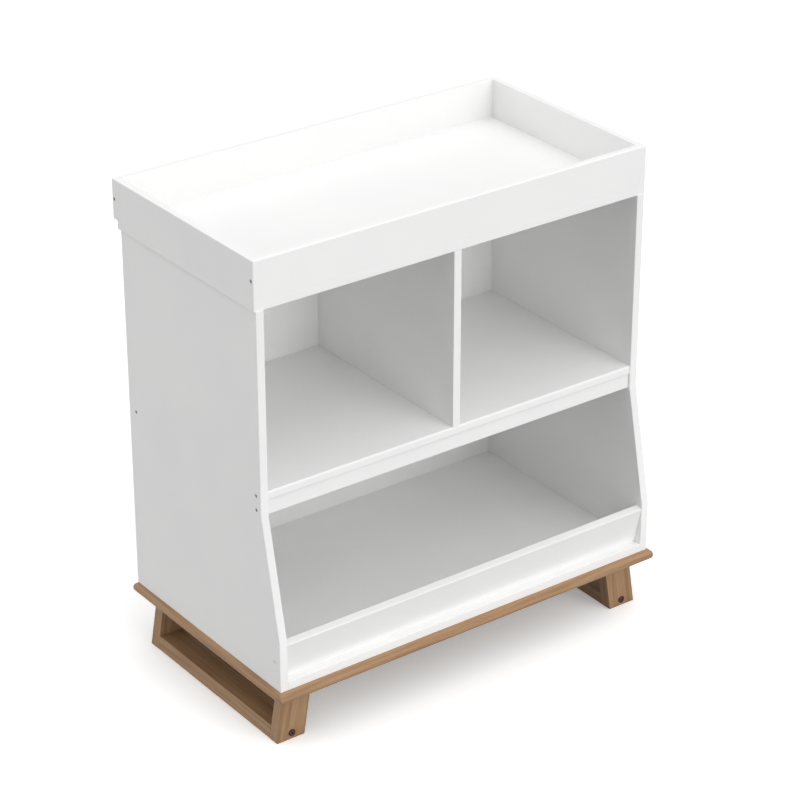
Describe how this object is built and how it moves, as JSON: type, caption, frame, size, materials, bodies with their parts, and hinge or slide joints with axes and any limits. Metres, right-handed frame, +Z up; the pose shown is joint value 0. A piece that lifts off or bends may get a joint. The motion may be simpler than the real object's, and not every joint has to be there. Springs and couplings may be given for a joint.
{
  "type": "changing table",
  "caption": "White board changing table with a rimmed top tray, open cubbies, a lower bin with a leaning front rail, and a driftwood-finish plate on splayed sled legs.",
  "frame": {"origin": "on the floor, at the middle of the bounding box's footprint", "axes": "+Z up, +Y towards the back, +X to the right of a person facing the front"},
  "size_m": [0.856, 0.501, 0.925],
  "materials": {
    "white_board": "satin white lacquer on fibreboard",
    "driftwood": "stained solid timber, open grain, matt varnish",
    "dowel_wood": "plain beech",
    "zinc_steel": "zinc plated",
    "bronze_steel": "dark bronze plating"
  },
  "bodies": {
    "root": {"back_panel": "white_board", "barrel_nut_left_front": "zinc_steel", "barrel_nut_left_rear": "zinc_steel", "barrel_nut_right_front": "zinc_steel", "barrel_nut_right_rear": "zinc_steel", "base_plate": "driftwood", "bottom_panel": "white_board", "center_divider": "white_board", "divider_dowel_bottom": "dowel_wood", "divider_dowel_top": "dowel_wood", "foot_bolt_left_front": "bronze_steel", "foot_bolt_left_rear": "bronze_steel", "foot_bolt_right_front": "bronze_steel", "foot_bolt_right_rear": "bronze_steel", "front_lip_rail": "white_board", "left_front_leg": "driftwood", "left_rear_leg": "driftwood", "left_runner": "driftwood", "left_side_panel": "white_board", "left_sled_rail": "driftwood", "lip_rail_screw_left": "zinc_steel", "lip_rail_screw_right": "zinc_steel", "middle_shelf": "white_board", "panel_dowel_left_front": "dowel_wood", "panel_dowel_left_rear": "dowel_wood", "panel_dowel_right_front": "dowel_wood", "panel_dowel_right_rear": "dowel_wood", "plate_screw_left_front": "zinc_steel", "plate_screw_left_rear": "zinc_steel", "plate_screw_right_front": "zinc_steel", "plate_screw_right_rear": "zinc_steel", "right_front_leg": "driftwood", "right_rear_leg": "driftwood", "right_runner": "driftwood", "right_side_panel": "white_board", "right_sled_rail": "driftwood", "shelf_front_rail": "white_board", "shelf_rail_screw_left": "zinc_steel", "shelf_rail_screw_right": "zinc_steel", "shelf_screw_left_front": "zinc_steel", "shelf_screw_left_rear": "zinc_steel", "shelf_screw_right_front": "zinc_steel", "shelf_screw_right_rear": "zinc_steel", "sled_screw_left_front": "zinc_steel", "sled_screw_left_rear": "zinc_steel", "sled_screw_right_front": "zinc_steel", "sled_screw_right_rear": "zinc_steel", "top_panel": "white_board", "tray_back_wall": "white_board", "tray_dowel_left_front": "dowel_wood", "tray_dowel_left_rear": "dowel_wood", "tray_dowel_right_front": "dowel_wood", "tray_dowel_right_rear": "dowel_wood", "tray_front_wall": "white_board", "tray_left_wall": "white_board", "tray_right_wall": "white_board", "tray_screw_left_front": "zinc_steel", "tray_screw_left_rear": "zinc_steel", "tray_screw_right_front": "zinc_steel", "tray_screw_right_rear": "zinc_steel"}
  },
  "joints": []
}
